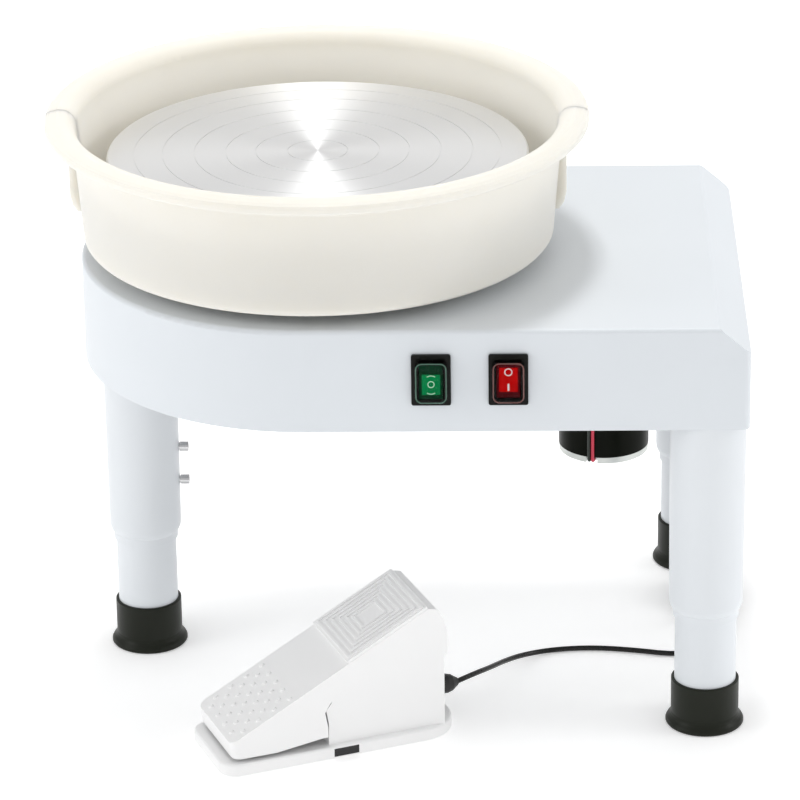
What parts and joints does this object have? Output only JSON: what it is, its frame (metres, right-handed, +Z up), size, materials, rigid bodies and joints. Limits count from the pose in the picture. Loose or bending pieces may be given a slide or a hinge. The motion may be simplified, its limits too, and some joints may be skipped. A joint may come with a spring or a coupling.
{
  "type": "pottery wheel",
  "caption": "Tabletop-height pottery wheel: turning aluminium head in a split splash pan on a D-shaped housing with adjustable legs and a corded foot pedal.",
  "frame": {"origin": "on the floor under the middle of the footprint of everything but the free cord", "axes": "+Z up, -Y towards the potter and the switches, +X to the square end of the housing"},
  "size_m": [0.4652, 0.3876, 0.3883],
  "materials": {
    "housing_paint": "smooth satin white",
    "leg_paint": "smooth satin white",
    "plate_steel": "grey painted sheet",
    "pan_plastic": "ivory, soft sheen",
    "wheel_aluminium": "machined",
    "spindle_steel": "ground",
    "screw_steel": "bright plated",
    "bearing_steel": "bright",
    "cast_housing": "as cast",
    "belt_rubber": "matt",
    "motor_black": "semi-gloss black",
    "motor_cap": "satin",
    "magnet": "dark grey",
    "rotor_steel": "laminated",
    "wire_red": "insulation",
    "wire_black": "insulation",
    "board_green": "lacquered",
    "component_dark": "moulded",
    "heatsink": "extruded",
    "switch_black": "gloss black",
    "rocker_green": "translucent green",
    "rocker_red": "translucent red",
    "boot_clear": "clear flexible",
    "inlet_black": "matt black",
    "foot_rubber": "soft sheen",
    "pedal_plastic": "light grey, fine grain",
    "pedal_rubber": "matt black",
    "nylon": "natural nylon",
    "spring_steel": "drawn wire",
    "cord_black": "smooth sheath"
  },
  "bodies": {
    "stand": {"leg_tube_left": "leg_paint", "leg_tube_front": "leg_paint", "leg_tube_rear": "leg_paint", "leg_foot_left": "foot_rubber", "leg_foot_front": "foot_rubber", "leg_foot_rear": "foot_rubber", "pedal_base": "pedal_plastic", "pedal_pivot_pin": "spindle_steel", "pedal_return_spring": "spring_steel", "pedal_potentiometer": "component_dark", "pedal_grip_strip": "pedal_rubber", "pedal_base_screws": "screw_steel", "pedal_strain_relief": "pedal_rubber", "pedal_cord_floor": "cord_black", "pedal_cord_coil": "cord_black", "pedal_cord_tie": "switch_black", "pedal_cord_riser": "cord_black"},
    "table": {"housing_shell": "housing_paint", "bottom_plate": "plate_steel", "bottom_plate_screws": "screw_steel", "spindle_bearing_housing": "cast_housing", "bearing_lower": "bearing_steel", "bearing_upper": "bearing_steel", "spindle_housing_bolts": "screw_steel", "motor_can": "motor_black", "motor_end_cap": "motor_cap", "motor_magnets": "magnet", "motor_screws": "screw_steel", "drive_belt": "belt_rubber", "motor_lead_red": "wire_red", "motor_lead_black": "wire_black", "controller_board": "board_green", "controller_components": "component_dark", "controller_heatsink": "heatsink", "direction_switch_body": "switch_black", "direction_switch_boot": "boot_clear", "power_switch_body": "switch_black", "power_switch_boot": "boot_clear", "mains_inlet": "inlet_black", "mains_inlet_screws": "screw_steel", "leg_sleeve_left": "leg_paint", "leg_sleeve_front": "leg_paint", "leg_sleeve_rear": "leg_paint", "leg_clamp_screws": "screw_steel", "leg_mount_bolts": "screw_steel", "pedal_cord_gland": "inlet_black"},
    "wheel": {"wheel_head": "wheel_aluminium", "head_hub": "cast_housing", "head_screws": "screw_steel", "spindle_shaft": "spindle_steel", "driven_pulley": "wheel_aluminium"},
    "motor_spindle": {"motor_rotor": "rotor_steel", "motor_pulley": "wheel_aluminium"},
    "pan_front": {"splash_pan_front": "pan_plastic"},
    "pan_rear": {"splash_pan_rear": "pan_plastic"},
    "direction_rocker": {"direction_switch_rocker": "rocker_green"},
    "power_rocker": {"power_switch_rocker": "rocker_red"},
    "treadle": {"pedal_treadle": "pedal_plastic", "pedal_sector": "nylon"},
    "speed_pinion": {"pedal_pinion": "nylon"}
  },
  "joints": [
    {"name": "table_height", "type": "slide", "parent": "stand", "child": "table", "axis": [0, 0, 1], "range_m": [-0.04, 0.04], "deforming": ["pedal_cord_riser"]},
    {"name": "wheel_spin", "type": "hinge", "parent": "table", "child": "wheel", "pos_m": [-0.0505, 0.01383, 0.35], "axis": [0, 0, 1], "continuous": true},
    {"name": "motor_spin", "type": "hinge", "parent": "table", "child": "motor_spindle", "pos_m": [0.1398, 0.01383, 0.2], "axis": [0, 0, 1], "continuous": true},
    {"name": "pan_front_pull", "type": "slide", "parent": "table", "child": "pan_front", "axis": [0, -1, 0], "range_m": [0, 0.15]},
    {"name": "pan_rear_pull", "type": "slide", "parent": "table", "child": "pan_rear", "axis": [0, 1, 0], "range_m": [0, 0.15]},
    {"name": "direction_switch", "type": "hinge", "parent": "table", "child": "direction_rocker", "pos_m": [0.0253, -0.13517, 0.2575], "axis": [1, 0, 0], "range_deg": [-8, 8]},
    {"name": "power_switch", "type": "hinge", "parent": "table", "child": "power_rocker", "pos_m": [0.0749, -0.13517, 0.2575], "axis": [1, 0, 0], "range_deg": [0, 16]},
    {"name": "pedal_press", "type": "hinge", "parent": "stand", "child": "treadle", "pos_m": [-0.10981, -0.15905, 0.0155], "axis": [-0.3827, 0.9239, 0], "range_deg": [0, 5], "stiffness_Nm_per_rad": 12, "springref_deg": -3.44, "deforming": ["pedal_return_spring"]},
    {"name": "speed_pinion_turn", "type": "hinge", "parent": "stand", "child": "speed_pinion", "pos_m": [-0.00265, -0.11466, 0.024], "axis": [-0.3827, 0.9239, 0], "range_deg": [-95, 0]}
  ],
  "couplings": [
    {"joint": "motor_spin", "follows": "wheel_spin", "ratio": 5},
    {"joint": "speed_pinion_turn", "follows": "pedal_press", "ratio": -18.385}
  ]
}
